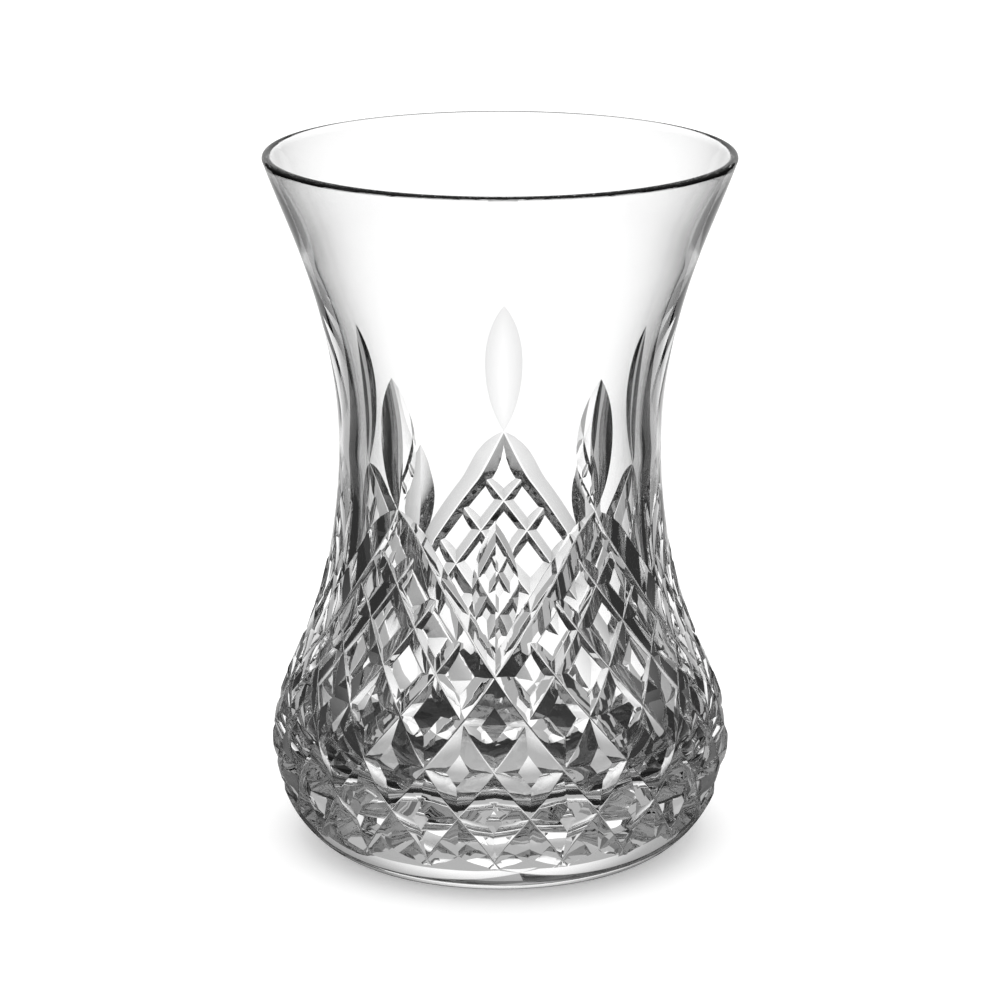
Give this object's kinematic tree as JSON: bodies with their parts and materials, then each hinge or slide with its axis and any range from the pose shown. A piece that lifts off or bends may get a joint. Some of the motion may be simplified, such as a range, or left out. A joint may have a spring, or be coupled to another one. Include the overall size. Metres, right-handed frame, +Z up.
{
  "type": "tea glass",
  "caption": "Waisted clear tea glass with a flared rim, a round belly, and pointed leaf cuts above a lattice of V-cut diamonds.",
  "frame": {"origin": "centre of the foot, on the surface that the glass stands on", "axes": "+Z up along the glass's own axis, out of the mouth; a small leaf cut faces -Y"},
  "size_m": [0.06, 0.06, 0.0904],
  "materials": {
    "clear_glass": "fire-polished clear glass"
  },
  "bodies": {
    "root": {"glass": "clear_glass"}
  },
  "joints": []
}
